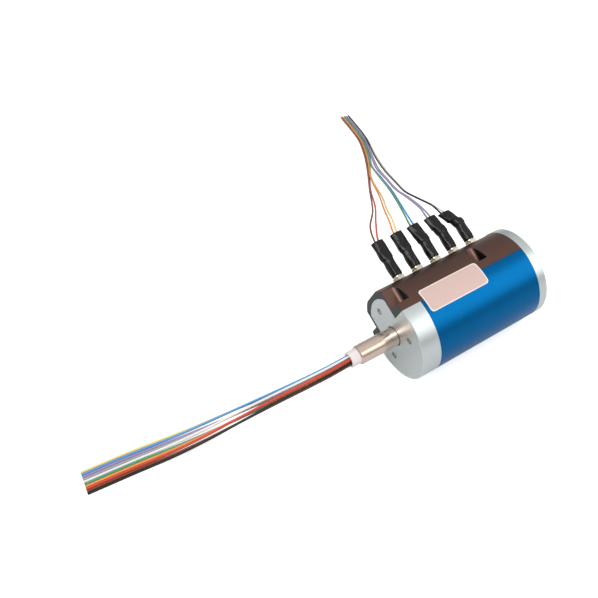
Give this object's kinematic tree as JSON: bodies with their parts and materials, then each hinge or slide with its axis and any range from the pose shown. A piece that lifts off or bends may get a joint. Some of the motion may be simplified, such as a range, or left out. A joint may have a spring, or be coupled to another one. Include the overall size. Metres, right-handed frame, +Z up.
{
  "type": "slip ring",
  "caption": "Capsule slip ring: round blue body with a tongued front flange, a hollow shaft that carries the turning leads, and a row of booted outlets for the fixed leads.",
  "frame": {"origin": "centre of the flange's front face, on the rotation axis", "axes": "-X along the shaft away from the body, +X through the body to the rear cap, +Z up from the surface that the body lies on, +Y to the side that the lead outlets lean to"},
  "size_m": [0.2429, 0.2133, 0.0475],
  "materials": {
    "flange_metal": "satin, clear anodised",
    "shell_blue": "turned and blue anodised",
    "housing_dark": "dark anodised, satin",
    "cap_metal": "satin",
    "label_film": "thin film, semi gloss",
    "screw_steel": "machined",
    "outlet_nickel": "nickel plated brass",
    "boot_black": "shrunk sleeve, glossy",
    "block_laminate": "laminate",
    "gold_wire": "gold alloy wire",
    "bearing_steel": "ground and hardened",
    "cage_brass": "pressed",
    "shaft_steel": "turned and polished",
    "sleeve_white": "extruded",
    "barrel_plastic": "moulded",
    "ring_gold": "gold plated",
    "clip_steel": "spring steel",
    "lead_brown": "extruded insulation",
    "lead_red": "extruded insulation",
    "lead_orange": "extruded insulation",
    "lead_yellow": "extruded insulation",
    "lead_green": "extruded insulation",
    "lead_blue": "extruded insulation",
    "lead_violet": "extruded insulation",
    "lead_grey": "extruded insulation",
    "lead_black": "extruded insulation",
    "lead_white": "extruded insulation"
  },
  "bodies": {
    "stator": {"front_flange": "flange_metal", "blue_shell": "shell_blue", "brush_housing": "housing_dark", "rear_cap": "cap_metal", "seal_label": "label_film", "housing_screws": "screw_steel", "cap_screws": "screw_steel", "lead_outlets": "outlet_nickel", "boot_1": "boot_black", "boot_2": "boot_black", "boot_3": "boot_black", "boot_4": "boot_black", "boot_5": "boot_black", "brush_block": "block_laminate", "brush_wires": "gold_wire", "front_outer_ring": "bearing_steel", "rear_outer_ring": "bearing_steel", "stator_lead_brown": "lead_brown", "stator_lead_red": "lead_red", "stator_lead_orange": "lead_orange", "stator_lead_yellow": "lead_yellow", "stator_lead_green": "lead_green", "stator_lead_blue": "lead_blue", "stator_lead_violet": "lead_violet", "stator_lead_grey": "lead_grey", "stator_lead_black": "lead_black", "stator_lead_white": "lead_white"},
    "rotor": {"shaft": "shaft_steel", "wire_sleeve": "sleeve_white", "rotor_barrel": "barrel_plastic", "contact_rings": "ring_gold", "bearing_spacer": "clip_steel", "wave_washer": "clip_steel", "front_inner_ring": "bearing_steel", "rear_inner_ring": "bearing_steel", "front_circlip": "clip_steel", "rear_circlip": "clip_steel", "rotor_lead_blue": "lead_blue", "rotor_lead_violet": "lead_violet", "rotor_lead_yellow": "lead_yellow", "rotor_lead_grey": "lead_grey", "rotor_lead_white": "lead_white", "rotor_lead_green": "lead_green", "rotor_lead_black": "lead_black", "rotor_lead_orange": "lead_orange", "rotor_lead_red": "lead_red", "rotor_lead_brown": "lead_brown"},
    "front_ball_set": {"front_balls": "bearing_steel", "front_cage": "cage_brass"},
    "rear_ball_set": {"rear_balls": "bearing_steel", "rear_cage": "cage_brass"}
  },
  "joints": [
    {"name": "rotor_turn", "type": "hinge", "parent": "stator", "child": "rotor", "pos_m": [0, 0, 0], "axis": [1, 0, 0], "continuous": true},
    {"name": "front_ball_set_turn", "type": "hinge", "parent": "stator", "child": "front_ball_set", "pos_m": [0.0073, 0, 0], "axis": [1, 0, 0], "continuous": true},
    {"name": "rear_ball_set_turn", "type": "hinge", "parent": "stator", "child": "rear_ball_set", "pos_m": [0.0683, 0, 0], "axis": [1, 0, 0], "continuous": true}
  ],
  "couplings": [
    {"joint": "front_ball_set_turn", "follows": "rotor_turn", "ratio": 0.4},
    {"joint": "rear_ball_set_turn", "follows": "rotor_turn", "ratio": 0.4}
  ]
}
